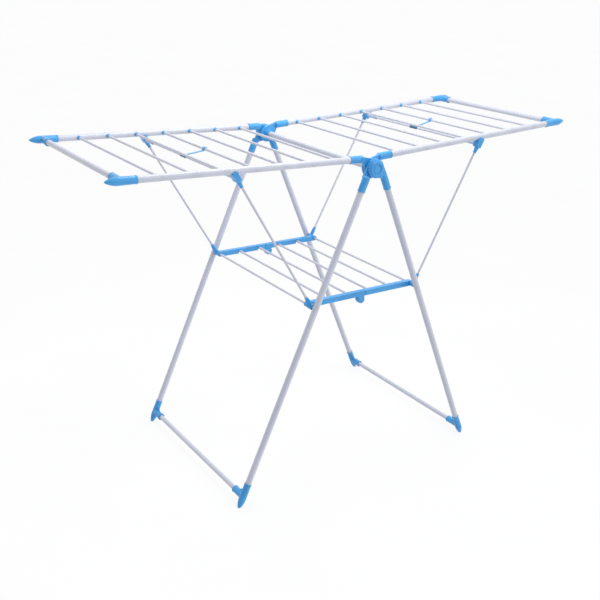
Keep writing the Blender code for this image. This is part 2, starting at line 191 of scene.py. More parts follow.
class Graph:
    """A material's nodes, added and linked by short calls."""

    def __init__(self, name):
        self.material = bpy.data.materials.new(name)
        self.material.use_nodes = True
        self.tree = self.material.node_tree
        self.shader = self.tree.nodes["Principled BSDF"]
        self.place = self.add("ShaderNodeTexCoord").outputs["Object"]
        self.geometry = self.add("ShaderNodeNewGeometry")

    def add(self, kind, **settings):
        node = self.tree.nodes.new(kind)
        for name, value in settings.items():
            setattr(node, name, value)
        return node

    def feed(self, socket, value):
        if isinstance(value, bpy.types.NodeSocket):
            self.tree.links.new(value, socket)
        else:
            socket.default_value = value

    def noise(self, scale, detail=3.0, roughness=0.5, stretch=None, kind="ShaderNodeTexNoise"):
        node = self.add(kind)
        vector = self.place
        if stretch:
            mapping = self.add("ShaderNodeMapping")
            mapping.inputs["Scale"].default_value = stretch
            self.tree.links.new(vector, mapping.inputs["Vector"])
            vector = mapping.outputs["Vector"]
        self.tree.links.new(vector, node.inputs["Vector"])
        node.inputs["Scale"].default_value = scale
        if "Detail" in node.inputs:
            node.inputs["Detail"].default_value = detail
            node.inputs["Roughness"].default_value = roughness
        return node.outputs[0]

    def ramp(self, value, low, high, start=0.0, end=1.0):
        """value from low to high becomes start to end, held beyond both."""
        node = self.add("ShaderNodeMapRange", clamp=True, interpolation_type="SMOOTHSTEP")
        self.feed(node.inputs["Value"], value)
        names = ("From Min", "From Max", "To Min", "To Max")
        for name, number in zip(names, (low, high, start, end)):
            node.inputs[name].default_value = number
        return node.outputs["Result"]

    def math(self, operation, a, b=0.0):
        node = self.add("ShaderNodeMath", operation=operation)
        self.feed(node.inputs[0], a)
        self.feed(node.inputs[1], b)
        return node.outputs[0]

    def mix(self, share, a, b):
        node = self.add("ShaderNodeMix", data_type="RGBA")
        self.feed(node.inputs["Factor"], share)
        for socket, colour in ((node.inputs["A"], a), (node.inputs["B"], b)):
            linked = isinstance(colour, bpy.types.NodeSocket)
            self.feed(socket, colour if linked else (*colour, 1.0))
        return node.outputs["Result"]

    def bump(self, height, distance, strength=1.0, normal=None):
        node = self.add("ShaderNodeBump")
        node.inputs["Distance"].default_value = distance
        node.inputs["Strength"].default_value = strength
        self.tree.links.new(height, node.inputs["Height"])
        if normal:
            self.tree.links.new(normal, node.inputs["Normal"])
        return node.outputs["Normal"]

    def attribute(self, name):
        return self.add("ShaderNodeAttribute", attribute_name=name).outputs["Fac"]

    def finish(self, colour, roughness, normal, **values):
        self.feed(self.shader.inputs["Base Color"], colour)
        self.feed(self.shader.inputs["Roughness"], roughness)
        self.feed(self.shader.inputs["Normal"], normal)
        for name, value in values.items():
            self.shader.inputs[name.replace("_", " ")].default_value = value
        return self.material


WHITE = (0.700, 0.722, 0.815)
WHITE_SHADE = (0.655, 0.682, 0.780)
ROD_WHITE = (0.690, 0.705, 0.790)
ROD_SHADE = (0.640, 0.660, 0.750)
SPECK = (0.42, 0.43, 0.48)
RUBBED = (0.47, 0.49, 0.54)
# Each plastic's colour, its deeper tone, and the paler tone used both for painted highlights on
# edges and for scuffs
BLUES = ((0.066, 0.415, 0.850), (0.048, 0.340, 0.760), (0.270, 0.640, 0.960))
CATCH_BLUES = ((0.17, 0.49, 0.86), (0.12, 0.40, 0.78), (0.42, 0.72, 0.96))
# The catch clip's colours are a dark copy of the catch blue: painted shade for a clip that sits in
# shadow
SHADED_CLIP_BLUES = ((0.045, 0.200, 0.330), (0.035, 0.160, 0.280), (0.16, 0.38, 0.52))
SOCKET_BLUES = ((0.50, 0.62, 0.82), (0.42, 0.55, 0.78), (0.72, 0.80, 0.92))


def coated_steel(name, colour, shade, grain=700.0):
    """Pale powder coat on steel tube: cloudy tone, orange peel, a few specks, rubbed ends."""
    g = Graph(name)
    clouds = g.noise(9.0, 4.0, 0.6)
    fine = g.noise(60.0, 3.0, 0.55)
    tone = g.mix(g.ramp(clouds, 0.3, 0.7), colour, shade)
    tone = g.mix(g.ramp(fine, 0.35, 0.75, 0.0, 0.25), tone, [0.93 * c for c in shade])
    specks = g.ramp(g.noise(420.0, 2.0, 0.7), 0.71, 0.76, 0.0, 0.35)
    tone = g.mix(specks, tone, SPECK)
    patches = g.ramp(g.noise(260.0, 4.0, 0.7), 0.42, 0.62)
    rubbed = g.math("MULTIPLY", g.attribute("rubbed"), patches)
    tone = g.mix(g.math("MULTIPLY", rubbed, 0.55), tone, RUBBED)
    # Long faint streaks, as drawn tube has
    drawn = g.noise(90.0, 3.0, 0.5, stretch=(0.04, 1.0, 1.0))
    gloss = g.ramp(clouds, 0.3, 0.7, 0.27, 0.36)
    roughness = g.math("ADD", gloss, g.math("MULTIPLY", drawn, 0.06))
    roughness = g.math("ADD", roughness, g.math("MULTIPLY", rubbed, 0.18))
    peel = g.bump(g.noise(grain, 2.0, 0.5), 0.00003, 0.5)
    normal = g.bump(g.noise(55.0, 2.0, 0.5), 0.00014, 0.35, peel)
    return g.finish(tone, roughness, normal, Coat_Weight=0.25, Coat_Roughness=0.12)


def moulded_plastic(name, colour, deep, pale_highlight_and_scuff):
    """Glossy blue polypropylene: flow clouds, fine grain, painted highlights on edges, painted
    shade and less gloss in hollows, pale scuffs.
    """
    g = Graph(name)
    clouds = g.noise(28.0, 4.0, 0.6, stretch=(0.5, 1.0, 1.0))
    tone = g.mix(g.ramp(clouds, 0.32, 0.72), colour, deep)
    curve = g.geometry.outputs["Pointiness"]
    # Painted highlight: convex edges, found by pointiness, are lightened towards the pale tone,
    # broken up by noise
    highlight_breakup = g.ramp(g.noise(300.0, 3.0, 0.6), 0.3, 0.6, 0.45, 1.0)
    edge_highlight = g.math("MULTIPLY", g.ramp(curve, 0.515, 0.60), highlight_breakup)
    tone = g.mix(g.math("MULTIPLY", edge_highlight, 0.55), tone, pale_highlight_and_scuff)
    # Painted shade: concave hollows, found by pointiness, are darkened and also made rougher
    shaded_hollows = g.ramp(curve, 0.485, 0.42)
    tone = g.mix(g.math("MULTIPLY", shaded_hollows, 0.6), tone, [0.45 * c for c in deep])
    scuffs = g.ramp(g.noise(120.0, 5.0, 0.75, stretch=(0.25, 1.0, 1.0)), 0.66, 0.72, 0.0, 0.28)
    tone = g.mix(scuffs, tone, pale_highlight_and_scuff)
    gloss = g.ramp(clouds, 0.3, 0.7, 0.28, 0.38)
    roughness = g.math("ADD", gloss, g.math("MULTIPLY", shaded_hollows, 0.2))
    roughness = g.math("ADD", roughness, g.math("MULTIPLY", scuffs, 0.5))
    grain = g.bump(g.noise(1500.0, 2.0, 0.5), 0.00004, 0.45)
    normal = g.bump(g.noise(140.0, 2.0, 0.5), 0.0002, 0.25, grain)
    return g.finish(tone, roughness, normal, Coat_Weight=0.2, Coat_Roughness=0.15, IOR=1.49)


finishes = {
    "frame_tube": coated_steel("frame_tube_coat", WHITE, WHITE_SHADE),
    "cross_tube": coated_steel("cross_tube_coat", WHITE, WHITE_SHADE, 650.0),
    "rod": coated_steel("rod_coat", ROD_WHITE, ROD_SHADE, 900.0),
    "stay_wire": coated_steel("stay_wire_coat", ROD_WHITE, ROD_SHADE, 950.0),
}
for fitting in ("hub", "corner", "foot", "shelf"):
    finishes[fitting + "_plastic"] = moulded_plastic(fitting + "_mould", *BLUES)
catch_finish = moulded_plastic("catch_mould", *CATCH_BLUES)
shaded_clip_finish = moulded_plastic("shaded_clip_mould", *SHADED_CLIP_BLUES)
socket_finish = moulded_plastic("socket_mould", *SOCKET_BLUES)


# Mesh builders


def closed(bm):
    """The mesh of a closed bmesh, with its faces turned outwards."""
    bmesh.ops.recalc_face_normals(bm, faces=bm.faces)
    mesh = bpy.data.meshes.new("mesh")
    bm.to_mesh(mesh)
    bm.free()
    return mesh


def lathe(axis, centre, profile, sides=TUBE_SIDES):
    """A turned closed shape. profile is (distance along the axis, radius); centre is the axis's
    other two coordinates."""
    bm = bmesh.new()
    rings = []
    for along, radius in profile:
        ring = []
        for i in range(sides if radius > 0 else 1):
            angle = 2 * math.pi * i / sides
            u = centre[0] + radius * math.cos(angle)
            v = centre[1] + radius * math.sin(angle)
            ring.append(bm.verts.new((along, u, v) if axis == "x" else (u, along, v)))
        rings.append(ring)
    for first, second in zip(rings, rings[1:]):
        for i in range(sides):
            j = (i + 1) % sides
            corners = [first[i % len(first)], first[j % len(first)]]
            corners += [second[j % len(second)], second[i % len(second)]]
            bm.faces.new(list(dict.fromkeys(corners)))
    for ring in (rings[0], rings[-1]):
        if len(ring) > 1:
            bm.faces.new(ring)
    return closed(bm)


def rod(axis, span, centre, radius, sides=24):
    return lathe(axis, centre, [(span[0], radius), (span[1], radius)], sides)


def plate(outline, span, axis="y"):
    """An outline in x and z extruded along y, or one in x and y along z."""
    bm = bmesh.new()
    ends = []
    for along in span:
        points = [(a, along, b) if axis == "y" else (a, b, along) for a, b in outline]
        ends.append([bm.verts.new(point) for point in points])
    for end in ends:
        bm.faces.new(end)
    for i in range(len(outline)):
        j = (i + 1) % len(outline)
        bm.faces.new((ends[0][i], ends[0][j], ends[1][j], ends[1][i]))
    return closed(bm)


def box(x, y, z):
    return plate([(x[0], z[0]), (x[1], z[0]), (x[1], z[1]), (x[0], z[1])], y)


def arc(centre, radius, start, end, steps):
    turns = [math.radians(start + (end - start) * i / steps) for i in range(steps + 1)]
    return [(centre[0] + radius * math.cos(a), centre[1] + radius * math.sin(a)) for a in turns]


def turned_copy(mesh, matrix):
    copy = mesh.copy()
    copy.transform(matrix)
    if matrix.determinant() < 0:
        copy.flip_normals()
    return copy


def mirrored(mesh):
    return turned_copy(mesh, Matrix.Scale(-1, 4, (0, 1, 0)))


def handed(mesh, sign):
    """A copy of a mesh built for +Y, mirrored across Y where sign is negative."""
    return mesh.copy() if sign > 0 else mirrored(mesh)


def ends_of(side):
    """Each end's name, and the sign of its Y in that side's frames."""
    return [(end, world_sign * SIDES[side]) for end, world_sign in ENDS.items()]


def joined(meshes):
    bm = bmesh.new()
    for mesh in meshes:
        bm.from_mesh(mesh)
    out = bpy.data.meshes.new("joined")
    bm.to_mesh(out)
    bm.free()
    return out


def moulded(adds, cuts=(), voxel=VOXEL, smooth=5, keep=0.3):
    """One moulded piece from overlapping solids less the cutters, its edges rounded together."""
    scene = bpy.context.scene.collection
    base = bpy.data.objects.new("moulded", joined(adds))
    scene.objects.link(base)
    cutter = None
    if cuts:
        cutter = bpy.data.objects.new("cutter", joined(cuts))
        scene.objects.link(cutter)
        cutting = base.modifiers.new("cut", "BOOLEAN")
        cutting.operation = "DIFFERENCE"
        cutting.solver = "EXACT"
        cutting.use_self = True
        cutting.object = cutter
    remesh = base.modifiers.new("remesh", "REMESH")
    remesh.mode = "VOXEL"
    remesh.voxel_size = voxel
    rounding = base.modifiers.new("smooth", "SMOOTH")
    rounding.factor = 0.5
    rounding.iterations = smooth
    thinning = base.modifiers.new("thin", "DECIMATE")
    thinning.ratio = keep
    graph = bpy.context.evaluated_depsgraph_get()
    mesh = bpy.data.meshes.new_from_object(base.evaluated_get(graph))
    mesh.shade_smooth()
    for obj in (base, cutter):
        if obj:
            bpy.data.objects.remove(obj)
    return mesh


def marked(mesh, axis, marks):
    """Fills the rubbed attribute: 1 at each mark along the axis, fading over MARK_REACH."""
    index = "xyz".index(axis)
    values = []
    for vertex in mesh.vertices:
        away = min(abs(vertex.co[index] - mark) for mark in marks)
        values.append(math.exp(-((away / MARK_REACH) ** 2)))
    mesh.attributes.new("rubbed", "FLOAT", "POINT").data.foreach_set("value", values)
    return mesh


def tube_mesh(axis, span, centre, radius, marks, sides=TUBE_SIDES):
    """A tube with extra rings near the marks, where other pieces rub it."""
    stops = {span[0], span[1]}
    count = max(2, round((span[1] - span[0]) / RING_SPACING))
    stops |= {span[0] + (span[1] - span[0]) * i / count for i in range(count)}
    for mark in marks:
        stops |= {mark + MARK_REACH * share for share in (-1.0, -0.5, 0.0, 0.5, 1.0)}
    kept = sorted(s for s in stops if span[0] <= s <= span[1])
    mesh = lathe(axis, centre, [(s, radius) for s in kept], sides)
    mesh.shade_smooth()
    mesh.set_sharp_from_angle(angle=math.radians(40))
    return marked(mesh, axis, marks)


def shown(name, mesh, slot, body, at, hides=(), finish=None):
    """A piece of the visible model, placed by the frame at and riding on a body."""
    mesh.name = name
    mesh.materials.clear()
    mesh.materials.append(finish or finishes[slot])
    obj = bpy.data.objects.new(name, mesh)
    bpy.context.scene.collection.objects.link(obj)
    obj.matrix_world = at
    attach(obj, body)
    if hides:
        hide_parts(*hides)
    return obj


# Hub


def boss_teeth(y):
    """Small blocks round a boss's rim, which catch the light as a row of teeth."""
    blocks = []
    low, high = TOOTH_SPAN
    for degrees in range(*TEETH_ARC):
        tooth = box((BOSS_R + low, BOSS_R + high), y, (-TOOTH_HALF, TOOTH_HALF))
        tooth.transform(Matrix.Rotation(-math.radians(degrees), 4, "Y"))
        blocks.append(tooth)
    return blocks


def cap_profile(face):
    """The round cap on the outermost boss: a rim, a groove and a shallow dome."""
    top = face + CAP_RIM
    cap = [(face - PAST, CAP_R), (top - 0.0012, CAP_R), (top - 0.0003, CAP_R - 0.0007)]
    cap += [(top, CAP_R - 0.0020), (top, CAP_RECESS_R + FILLET), (top - FILLET, CAP_RECESS_R)]
    cap += [(face + 0.0002, CAP_RECESS_R - 0.0003), (face + 0.0002, CAP_RECESS_R - 0.0017)]
    cap += [(face + 0.0014, CAP_RECESS_R - 0.0024)]
    return cap + [(face + 0.0020, CAP_FACE_R), (face + 0.0022, 0.0)]


def arm_mesh(kind, spar):
    """A hub arm on the positive side of its frame: boss, neck and sleeve."""
    slab = SLAB_START + SLAB_STEP * SLAB_ORDER.index(kind)
    face = slab + SLAB
    y, z = spar
    disc = [(slab, BOSS_R - BOSS_RIM), (slab + BOSS_RIM, BOSS_R)]
    disc += [(face - BOSS_RIM, BOSS_R), (face, BOSS_R - BOSS_RIM)]
    neck = arc((0, 0), BOSS_R - 0.0012, 96, 322, 30)
    shoulder = NECK_X - 0.004
    neck += [(shoulder, z - NECK_HALF), (NECK_X, z), (shoulder, z + NECK_HALF)]
    start, end = ARM_SLEEVE
    r = ARM_SLEEVE_R
    # A domed root, the body, and a lip round the mouth that stays inside the CAD sleeve
    sleeve = [(start - 0.004, 0.0), (start - 0.0035, r * 0.42), (start - 0.0018, r * 0.75)]
    sleeve += [(start + 0.001, r * 0.94), (start + 0.005, r - 0.0004)]
    sleeve += [(end - 0.0042, r - 0.0006), (end - 0.0036, r - 0.0001), (end, r - 0.0001)]
    adds = [
        lathe("y", (0, 0), disc, 72),
        plate(neck, (slab + 0.0004, face - 0.0004)),
        lathe("x", spar, sleeve, 36),
        *boss_teeth((slab + 0.0008, face - 0.0008)),
    ]
    # Low stiffening ribs along the neck, on both faces of the slab
    for lift in RIB_LIFTS:
        root, tip = z * 0.45 + lift, z + lift
        rib = [(RIB_START, root - RIB_HALF), (NECK_X, tip - RIB_HALF)]
        rib += [(NECK_X, tip + RIB_HALF), (RIB_START, root + RIB_HALF)]
        adds.append(plate(rib, (slab + 0.0003, face - 0.0001)))
    cuts = [rod("x", (ARM_FLOOR, end + PAST), spar, TUBE_R + FIT)]
    for x in DIMPLES_X:
        cuts.append(rod("y", (y + r - DIMPLE_DEPTH, y + r + 0.004), (x, z), DIMPLE_R, 16))
    hole_end = face + PAST
    if kind == "right_leg":
        adds.append(lathe("y", (0, 0), cap_profile(face), 72))
        hole_end = slab + 0.0055
    if kind == "right_wing":
        collar = [(COLLAR_Y, COLLAR_R - FILLET), (COLLAR_Y + 0.0008, COLLAR_R)]
        collar += [(slab + 0.003, COLLAR_R)]
        adds.append(lathe("y", (0, 0), collar, 36))
        cuts.append(rod("y", (COLLAR_Y - PAST, SLAB_START), (0, 0), TUBE_R + FIT))
    cuts.append(rod("y", (slab - PAST, hole_end), (0, 0), JOURNAL_R + FIT))
    return moulded(adds, cuts)


def show_arms():
    for kind in SLAB_ORDER:
        side, spar = kind.split("_")
        wing = spar == "wing"
        place = (WING_Y[side], WING_OFFSET) if wing else (LEG_Y, LEG_OFFSET)
        mesh = arm_mesh(kind, place)
        body = f"{side}_wing" if wing else f"{side}_leg_frame"
        at = WING_AT[side] if wing else LEG_AT[side]
        for end, sign in ends_of(side):
            node = f"{side}_wing_{end}_arm" if wing else f"{side}_{end}_leg_arm"
            shown(node + "_moulding", handed(mesh, sign), "hub_plastic", body, at, (node,))


# Tee connectors


def ogive(start, tip, radius, steps=12):
    """The profile of a nose that narrows from radius at start to a point at tip."""
    points = []
    for i in range(steps):
        share = i / steps
        points.append((start + (tip - start) * share, radius * (1 - share**1.7) ** 0.75))
    return points + [(tip, 0.0)]


def mouth(edge, inward, radius, flare):
    """The flared lip of a sleeve whose mouth is at edge, in order from the mouth inwards."""
    steps = ((0.0, flare), (0.0022, flare), (0.0034, flare * 0.4), (0.0060, 0.0))
    return [(edge + inward * d, radius + extra) for d, extra in steps]


def tee_mesh(spar, sleeve_x, branch_x, tip_x, cross_r, cuts=()):
    """A tee connector: a pointed sleeve on the spar, a branch to the cross tube, and a gusset."""
    y, z = spar
    body = mouth(sleeve_x, 1, TEE_R - TEE_LIP, FILLET)
    body += ogive(branch_x + 0.008, tip_x, TEE_R - 0.0005)
    branch = mouth(y - BRANCH_LENGTH, 1, BRANCH_R - 0.0002, 0.0009) + [(y, BRANCH_R)]
    corner = branch_x - BRANCH_R - 0.011
    low = y - BRANCH_R - GUSSET_REACH
    gusset = [(corner, y - 0.006), (branch_x, y - 0.006), (branch_x, low)]
    gusset += [(branch_x - BRANCH_R + 0.001, low)]
    adds = [
        lathe("x", spar, body, 48),
        lathe("y", (branch_x, z), branch, 48),
        plate(gusset, (z - GUSSET_HALF, z + GUSSET_HALF), "z"),
    ]
    # The parting line of the mould, a fine bead along the outer side
    near, far, crest = sleeve_x + 0.006, branch_x + 0.010, y + TEE_R - FILLET
    seam = [(near, y), (near, crest), (far, crest), (far, y)]
    adds.append(plate(seam, (z - SEAM_HALF, z + SEAM_HALF), "z"))
    branch_hole = (y - BRANCH_LENGTH - PAST, y - TEE_CORE)
    holes = [
        rod("x", (sleeve_x - PAST, branch_x - TEE_CORE), spar, TUBE_R + FIT, 36),
        rod("y", branch_hole, (branch_x, z), cross_r + FIT, 36),
    ]
    return moulded(adds, [*holes, *cuts])


def show_tees():
    """The tees are baked into the world frame, which keeps their bounding boxes tight."""
    for side in SIDES:
        wing = (WING_Y[side], WING_OFFSET)
        corner = tee_mesh(wing, WING_SLEEVE_X, WING_END_X, WING_TIP_X, END_TUBE_R)
        # Everything below the floor is cut off the feet
        floor = box((-0.6, 0.6), (-0.4, 0.4), (-0.1, 0.0))
        floor.transform(LEG_AT[side].inverted())
        leg = (LEG_Y, LEG_OFFSET)
        foot = tee_mesh(leg, FOOT_SLEEVE_X, FOOT_BAR_X, FOOT_TIP_X, FOOT_BAR_R, [floor])
        for end, sign in ends_of(side):
            node = f"{side}_wing_{end}_corner"
            mesh = handed(corner, sign)
            mesh.transform(WING_AT[side])
            body = f"{side}_wing"
            shown(node + "_moulding", mesh, "corner_plastic", body, Matrix(), (node,))
            node = f"{side}_{end}_foot"
            mesh = handed(foot, sign)
            mesh.transform(LEG_AT[side])
            body = f"{side}_leg_frame"
            shown(node + "_moulding", mesh, "foot_plastic", body, Matrix(), (node,))


# Tubes and rods


def show_tubes():
    reach = SLAB_START - FIT
    marks = (-COLLAR_Y, COLLAR_Y)
    axle = tube_mesh("y", (-reach, reach), (0, 0), TUBE_R, marks)
    shown("hub_axle_tube", axle, "frame_tube", "left_leg_frame", LEG_AT["left"], ("hub_axle",))
    for side in SIDES:
        for end, sign in ends_of(side):
            span = (ARM_FLOOR + FIT, WING_END_X - TEE_CORE - FIT)
            marks = (ARM_SLEEVE[1], WING_SLEEVE_X, *WING_ROD_X)
            mesh = tube_mesh("x", span, (sign * WING_Y[side], WING_OFFSET), TUBE_R, marks)
            node = f"{side}_wing_{end}_rail"
            shown(node + "_tube", mesh, "frame_tube", f"{side}_wing", WING_AT[side], (node,))
            span = (ARM_FLOOR + FIT, FOOT_BAR_X - TEE_CORE - FIT)
            marks = (ARM_SLEEVE[1], SHELF_PIVOT_X, FOOT_SLEEVE_X)
            mesh = tube_mesh("x", span, (sign * LEG_Y, LEG_OFFSET), TUBE_R, marks)
            node = f"{side}_{end}_leg"
            shown(node + "_tube", mesh, "frame_tube", f"{side}_leg_frame", LEG_AT[side], (node,))
        reach = WING_Y[side] - TEE_CORE - FIT
        marks = [s * (WING_Y[side] - BRANCH_LENGTH) for s in (-1, 1)]
        mesh = tube_mesh("y", (-reach, reach), (WING_END_X, WING_OFFSET), END_TUBE_R, marks)
        node = f"{side}_wing_end_tube"
        shown(node + "_coated", mesh, "cross_tube", f"{side}_wing", WING_AT[side], (node,))
        reach = LEG_Y - TEE_CORE - FIT
        marks = [s * (LEG_Y - BRANCH_LENGTH) for s in (-1, 1)]
        mesh = tube_mesh("y", (-reach, reach), (FOOT_BAR_X, LEG_OFFSET), FOOT_BAR_R, marks)
        node = f"{side}_foot_bar"
        shown(node + "_tube", mesh, "cross_tube", f"{side}_leg_frame", LEG_AT[side], (node,))


def thin_rod(reach, centre, radius=ROD_R):
    """A rod along Y, from -reach to reach."""
    marks = (-reach + 0.008, reach - 0.008)
    return tube_mesh("y", (-reach, reach), centre, radius, marks, ROD_SIDES)


def show_rods():
    for side in SIDES:
        for number, x in enumerate(WING_ROD_X, 1):
            mesh = thin_rod(WING_Y[side] - 0.004, (x, WING_OFFSET))
            node = f"{side}_wing_rod_{number}"
            shown(node + "_coated", mesh, "rod", f"{side}_wing", WING_AT[side], (node,))
        mesh = thin_rod(HEAD_Y[0] - FIT, (CROSSBAR_X, 0), CROSSBAR_R)
        node = f"{side}_stay_crossbar"
        shown(node + "_coated", mesh, "rod", f"{side}_stay", STAY_AT[side], (node,))
    mesh = thin_rod(LEG_Y - 0.004, (SHELF_PIVOT_X, PIVOT_OFFSET))
    node = "shelf_left_pivot_rod"
    shown(node + "_coated", mesh, "rod", "left_leg_frame", LEG_AT["left"], (node,))
    mesh = thin_rod(LEG_Y - 0.012, (PIVOT.x, PIVOT.z))
    node = "shelf_right_pivot_rod"
    shown(node + "_coated", mesh, "rod", "right_shelf_half", Matrix(), (node,))
    for side, sign in SIDES.items():
        for number, distance in enumerate(SHELF_ROD_X, 1):
            mesh = thin_rod(BAR_Y[1] - BAR_WALL - FIT, (sign * distance, PIVOT.z))
            node = f"shelf_{side}_rod_{number}"
            shown(node + "_coated", mesh, "rod", f"{side}_shelf_half", Matrix(), (node,))


def grommet(x, y):
    """A ring that seats a rod in a rail, on the rail's inner side. Its flange follows the rail."""
    surface = y - TUBE_R
    bore = ROD_R + 0.0002
    profile = [(surface + 0.004, 0.0050), (surface - 0.0008, 0.0062)]
    profile += [(surface - 0.0019, 0.0059), (surface - 0.0024, 0.0051)]
    profile += [(surface - 0.0062, 0.0047), (surface - 0.0066, 0.0043)]
    profile += [(surface - 0.0066, bore), (surface + 0.004, bore)]
    bm = bmesh.new()
    rings = []
    for along, radius in profile:
        ring = []
        for i in range(GROMMET_SIDES):
            angle = 2 * math.pi * i / GROMMET_SIDES
            u, v = radius * math.cos(angle), radius * math.sin(angle)
            on_rail = along > surface - 0.003
            bend = TUBE_R - math.sqrt(TUBE_R**2 - v**2) if on_rail else 0.0
            ring.append(bm.verts.new((x + u, along + bend, WING_OFFSET + v)))
        rings.append(ring)
    for first, second in zip(rings, rings[1:] + rings[:1]):
        for i in range(GROMMET_SIDES):
            j = (i + 1) % GROMMET_SIDES
            bm.faces.new((first[i], first[j], second[j], second[i]))
    return closed(bm)


def show_grommets():
    for side in SIDES:
        mesh = joined([grommet(x, WING_Y[side]) for x in WING_ROD_X])
        mesh.shade_smooth()
        mesh.set_sharp_from_angle(angle=math.radians(50))
        body, at = f"{side}_wing", WING_AT[side]
        for end, sign in ends_of(side):
            name = f"{side}_wing_{end}_grommets"
            shown(name, handed(mesh, sign), "corner_plastic", body, at)


# Shelf


def bar_mesh(side):
    """Half of a folding shelf bar on the +Y side, in the world frame."""
    out = SIDES[side]
    left = side == "left"
    inner, outer = BAR_Y
    pivot = (out * PIVOT.x, PIVOT.z)
    knuckle = (0.0, KNUCKLE.z)
    low, high = PIVOT.z - BAR_HALF_HEIGHT, PIVOT.z + BAR_HALF_HEIGHT
    lap_x = -out * BAR_LAP
    turn = (90, 270) if left else (90, -90)
    outline = arc(pivot, BAR_HALF_HEIGHT, *turn, 12) + [(lap_x, low), (lap_x, high)]
    # Where the halves overlap, the left one keeps the outer layer and the right one the inner
    kept = (BAR_SPLIT_Y + FIT, outer) if left else (inner, BAR_SPLIT_Y)
    gone = (inner - PAST, kept[0]) if left else (kept[1], outer + PAST)
    web = [(-0.0105, knuckle[1]), (0.0105, knuckle[1]), (0.009, PIVOT.z), (-0.009, PIVOT.z)]
    disc = [(kept[0], KNUCKLE_R - 0.0005), (kept[0] + FILLET, KNUCKLE_R)]
    disc += [(kept[1] - FILLET, KNUCKLE_R), (kept[1], KNUCKLE_R - 0.0008)]
    if left:
        # A groove and a button on the visible face
        disc += [(kept[1], 0.0080), (kept[1] - 0.0007, 0.0074), (kept[1] - 0.0007, 0.0052)]
        disc += [(kept[1] - 0.0001, 0.0046), (kept[1] + 0.0002, 0.0)]
    adds = [plate(outline, BAR_Y), plate(web, kept), lathe("y", knuckle, disc, 48)]
    lap = sorted((out * (BAR_LAP + 0.0008), -out * (BAR_LAP + 0.004)))
    hollow = sorted((out * (PIVOT.x - 0.013), out * 0.020))
    cuts = [
        box(lap, gone, (low - PAST, high + PAST)),
        box(hollow, (inner + BAR_WALL, outer - BAR_WALL), (low - PAST, high - BAR_WALL)),
        rod("y", (inner - PAST, outer + PAST), pivot, ROD_R + FIT),
    ]
    if left:
        adds.append(rod("y", (inner + FIT, BAR_SPLIT_Y + PAST), knuckle, KNUCKLE_PIN_R))
    else:
        hole = (inner - PAST, BAR_SPLIT_Y + PAST)
        cuts.append(rod("y", hole, knuckle, KNUCKLE_PIN_R + FIT))
    width = ROD_R + FIT
    for distance in SHELF_ROD_X:
        x = out * distance
        foot = width + FILLET
        notch = arc((x, PIVOT.z), width, 0, 180, 10)
        notch += [(x - foot, low - PAST), (x + foot, low - PAST)]
        cuts.append(plate(notch, (inner - PAST, inner + BAR_WALL + PAST)))
    return moulded(adds, cuts, smooth=3, keep=0.25)


def show_shelf():
    for side in SIDES:
        mesh = bar_mesh(side)
        body = f"{side}_shelf_half"
        for end, sign in ENDS.items():
            node = f"shelf_{side}_{end}_bar"
            half = handed(mesh, sign)
            shown(node + "_moulding", half, "shelf_plastic", body, Matrix(), (node,))


# Stays


def eye_mesh():
    """The lower fitting: an eye on the leg's pivot and the sleeve that holds the wire."""
    centre = (STAY_Y, 0)
    inner, outer = EYE_Y
    eye = [(inner, EYE_R - 0.0007), (inner + 0.0008, EYE_R)]
    eye += [(outer - 0.0008, EYE_R), (outer, EYE_R - 0.0007)]
    (x0, r0), (x1, r1), (x2, r2) = LOWER_SLEEVE
    sleeve = [(x0, r0), (x1, r1), (x1 + 0.002, r1 - 0.0005), (x2 - 0.0025, r2)]
    sleeve += [(x2 - 0.0020, r2 + 0.0005), (x2, r2 + 0.0004)]
    ridge_y = (STAY_Y - RIDGE_HALF, STAY_Y + RIDGE_HALF)
    ridge = box((0.004, x1 + 0.006), ridge_y, (-r0 - 0.0007, r0 + 0.0007))
    adds = [lathe("y", (0, 0), eye, 40), lathe("x", centre, sleeve, 32), ridge]
    cuts = [
        rod("y", (inner - PAST, outer + PAST), (0, 0), ROD_R + FIT),
        rod("x", (0.012, x2 + PAST), centre, WIRE_R + WIRE_FIT),
    ]
    return moulded(adds, cuts, voxel=FINE_VOXEL)


def head_mesh(side):
    """The upper fitting, as two pieces: the head, a saddle under the rail with the wire's
    sleeve, and the socket that holds the crossbar."""
    centre = (STAY_Y, 0)
    (x0, r0), (x1, r1) = UPPER_SLEEVE
    sleeve = [(x0, r0 + 0.0004), (x0 + 0.0018, r0 + 0.0005), (x0 + 0.0026, r0)]
    sleeve += [(x1, r1), (x1 + 0.006, r1 - 0.001)]
    (hx0, hx1), (z0, z1), c = HEAD_X, HEAD_Z, HEAD_FILLET
    outline = arc((hx0 + c, z0 + c), c, 180, 270, 5) + arc((hx1 - c, z0 + c), c, 270, 360, 5)
    outline += arc((hx1 - c, z1 - c), c, 0, 90, 5) + arc((hx0 + c, z1 - c), c, 90, 180, 5)
    adds = [lathe("x", centre, sleeve, 32), plate(outline, HEAD_Y)]
    saddle = rod("x", (0.36, 0.49), (WING_Y[side], WING_OFFSET), SADDLE_R, 48)
    saddle.transform(STAY_AT[side].inverted() @ WING_AT[side])
    start, end = SOCKET_Y
    bore = rod("y", (start - PAST, HEAD_Y[0]), (CROSSBAR_X, 0), CROSSBAR_R + FIT)
    wire = rod("x", (x0 - PAST, x0 + 0.014), centre, WIRE_R + WIRE_FIT)
    head = moulded(adds, [saddle, bore, wire], voxel=FINE_VOXEL)
    socket = [(start, SOCKET_R - FILLET), (start + FILLET, SOCKET_R), (start + 0.003, SOCKET_R)]
    socket += [(start + 0.004, SOCKET_R - 0.0005), (end, SOCKET_R - 0.0002)]
    turned = lathe("y", (CROSSBAR_X, 0), socket, 32)
    return head, moulded([turned], [bore], voxel=FINE_VOXEL)


